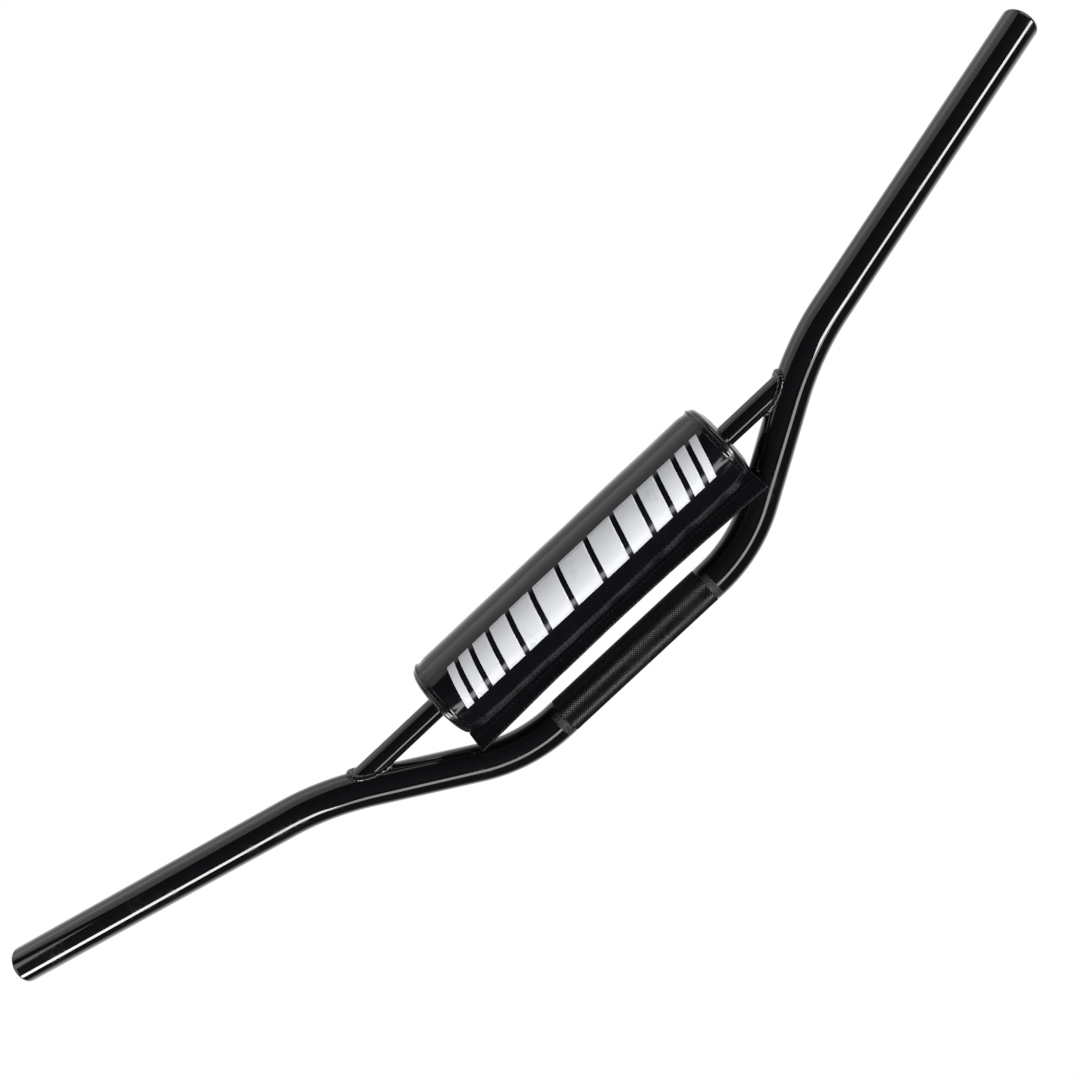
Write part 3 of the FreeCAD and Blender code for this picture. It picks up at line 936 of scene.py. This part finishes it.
buildPly("closureRear", 1, "cover", ["closure_rear"])
closureFlap = buildPly("closureFlap", -1, None, ["closure_flap"])
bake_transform(closureFlap)
buildTape("hookTape", -1, hookWeave, "flap", ["hook_tape"])
buildTape("loopTape", 1, loopWeave, "cover", ["loop_tape"])
tapeStitches("hookStitches", -1, "flap", ["hook_thread"])
tapeStitches("loopStitches", 1, "cover", ["loop_thread"])
tapeTufts("hookStems", -1, hookShape, addHook, hookWeave, "flap")
tapeTufts("loopTufts", 1, pileShape, addTuft, loopWeave, "cover")
print("closure made")

printShape = {
    "lift": 0.08 * mm, "low": math.radians(-11.3), "high": math.radians(47.5), "slant": 7.5 * mm,
    "bars": 13, "gap": 3.4 * mm, "taper": 0.72, "thick": 0.08 * mm, "cells": 14,
}


def buildPrint():
    # A row of plain slanted bars, widest in the middle and narrower towards both ends.
    shape = printShape
    low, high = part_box("print_film")
    centre = (shape["bars"] - 1) / 2
    widths = [1 - shape["taper"] * abs(k - centre) / centre for k in range(shape["bars"])]
    room = high.x - low.x - shape["slant"] - shape["gap"] * (shape["bars"] - 1)
    scale = room / sum(widths)
    bm = bmesh.new()
    left = low.x - padMiddle.x
    cells = shape["cells"]
    for width in widths:
        wide = width * scale
        for v in bmesh.ops.create_grid(bm, x_segments=cells, y_segments=cells, size=1)["verts"]:
            share = (v.co.y + 1) / 2
            x = left + wide * (v.co.x + 1) / 2 + shape["slant"] * share
            level = shape["low"] + (shape["high"] - shape["low"]) * share
            aim = Vector((0, -math.cos(level), math.sin(level)))  # level is measured up from -Y
            hit = coverTree.ray_cast(padMiddle + Vector((x, 0, 0)), aim)[0]
            v.co = hit + aim * shape["lift"]
        left += wide + shape["gap"]
    bmesh.ops.recalc_face_normals(bm, faces=bm.faces)
    piece = newPiece("printBars", bm, ink, "cover", ["print_film"])
    thicken(piece, shape["thick"], 0.0)
    settle(piece)
    return piece


buildPrint()
print("print made")

cameraShape = {
    "place": Vector((83.3, -898.6, 370.2)) * mm, "forward": Vector((-0.0817, 0.9506, -0.2995)),
    "roll": math.radians(44.772), "lens": 56.667, "sensor": 36.0, "reach": 20.0,
}


def addCamera():
    shape = cameraShape
    data = bpy.data.cameras.new("camera")
    data.lens, data.sensor_width, data.clip_end = shape["lens"], shape["sensor"], shape["reach"]
    camera = bpy.data.objects.new("camera", data)
    bpy.context.scene.collection.objects.link(camera)
    forward = shape["forward"].normalized()
    levelRight = forward.cross(Vector((0, 0, 1))).normalized()
    levelUp = levelRight.cross(forward)
    up = levelUp * math.cos(shape["roll"]) + levelRight * math.sin(shape["roll"])
    right = forward.cross(up)
    turn = Matrix((right, up, -forward)).transposed().to_4x4()
    camera.matrix_world = Matrix.Translation(shape["place"]) @ turn
    bpy.context.scene.camera = camera


def addLight(name, place, aim, width, height, power):
    data = bpy.data.lights.new(name, "AREA")
    data.shape = "RECTANGLE"
    data.size, data.size_y, data.energy = width, height, power
    lamp = bpy.data.objects.new(name, data)
    bpy.context.scene.collection.objects.link(lamp)
    lamp.location = place
    lamp.rotation_euler = (Vector(aim) - Vector(place)).to_track_quat("-Z", "Y").to_euler()
    lamp.visible_camera = False


worldLook = {
    "front": 0.05, "back": 1.0, "turnsAt": (0.0, 0.6),  # brightness rises from front to back
    "level": 1.0, "above": 0.6, "dimsAt": (0.05, 0.5),  # and falls off overhead
}


def addWorld():
    look = worldLook
    world = bpy.data.worlds.new("studio")
    bpy.context.scene.world = world
    world.use_nodes = True
    tree = world.node_tree
    direction = tree.nodes.new("ShaderNodeTexCoord").outputs["Generated"]
    axes = addNode(tree, "ShaderNodeSeparateXYZ", Vector=direction)
    back = ramp(tree, axes.outputs["Y"], *look["turnsAt"], look["front"], look["back"])
    above = ramp(tree, axes.outputs["Z"], *look["dimsAt"], look["level"], look["above"])
    back = calc(tree, "MULTIPLY", back, above)
    seen = tree.nodes.new("ShaderNodeLightPath").outputs["Is Camera Ray"]
    tree.links.new(calc(tree, "MAXIMUM", back, seen), tree.nodes["Background"].inputs["Strength"])
    tree.nodes["Background"].inputs["Color"].default_value = (1, 1, 1, 1)


floorShape = {
    "drop": 1.2, "size": 6.0, "pale": (1.0, 1.0, 1.0, 1), "under": (0.02, 0.02, 0.02, 1),
    "glowAt": (0.0, 0.9), "glow": (0.0, 0.85),  # brightness in reflections, from front to back
}


def addFloor():
    # White to the eye, bright behind the bar and dim in front of it in reflections.
    material, tree, shader = newMaterial("paleFloor", Roughness=0.9, Specular_IOR_Level=0.0)
    shader.inputs["Base Color"].default_value = floorShape["under"]
    shader.inputs["Emission Color"].default_value = floorShape["pale"]
    axes = addNode(tree, "ShaderNodeSeparateXYZ", Vector=objectPlace(tree))
    behind = ramp(tree, axes.outputs["Y"], *floorShape["glowAt"], *floorShape["glow"])
    seen = tree.nodes.new("ShaderNodeLightPath").outputs["Is Camera Ray"]
    tree.links.new(calc(tree, "MAXIMUM", behind, seen), shader.inputs["Emission Strength"])
    bm = bmesh.new()
    bmesh.ops.create_grid(bm, x_segments=2, y_segments=2, size=floorShape["size"],
                          matrix=Matrix.Translation((0, 0, cadLow.z - floorShape["drop"])))
    mesh = bpy.data.meshes.new("floor")
    bm.to_mesh(mesh)
    bm.free()
    mesh.materials.append(material)
    floor = bpy.data.objects.new("floor", mesh)
    bpy.context.scene.collection.objects.link(floor)


onPad, onLeftArm, onRightArm = (0, 0, 0.05), (-0.3, 0.03, 0.08), (0.3, 0.03, 0.08)
lights = {  # place, aim, width, height, power
    "lowStrip": ((0.05, -1.1, -0.62), onPad, 2.2, 0.32, 9),
    "leftStrip": ((-1.75, -1.05, -0.62), onLeftArm, 1.7, 0.42, 27),
    "rightStrip": ((1.6, -1.3, -0.66), onRightArm, 1.7, 0.42, 27),
    "topBox": ((0, 0.22, 1.3), onPad, 2.4, 1.2, 5.5),
    "leftBox": ((-1.4, -0.3, 0.5), onPad, 0.5, 1.0, 2.5),
    "rightBox": ((1.4, -0.2, 0.5), onPad, 0.5, 1.0, 2.5),
}

addCamera()
addWorld()
addFloor()
for lightName, lamp in lights.items():
    addLight(lightName, *lamp)
bpy.context.scene.view_settings.view_transform = "Standard"
print("stage set")
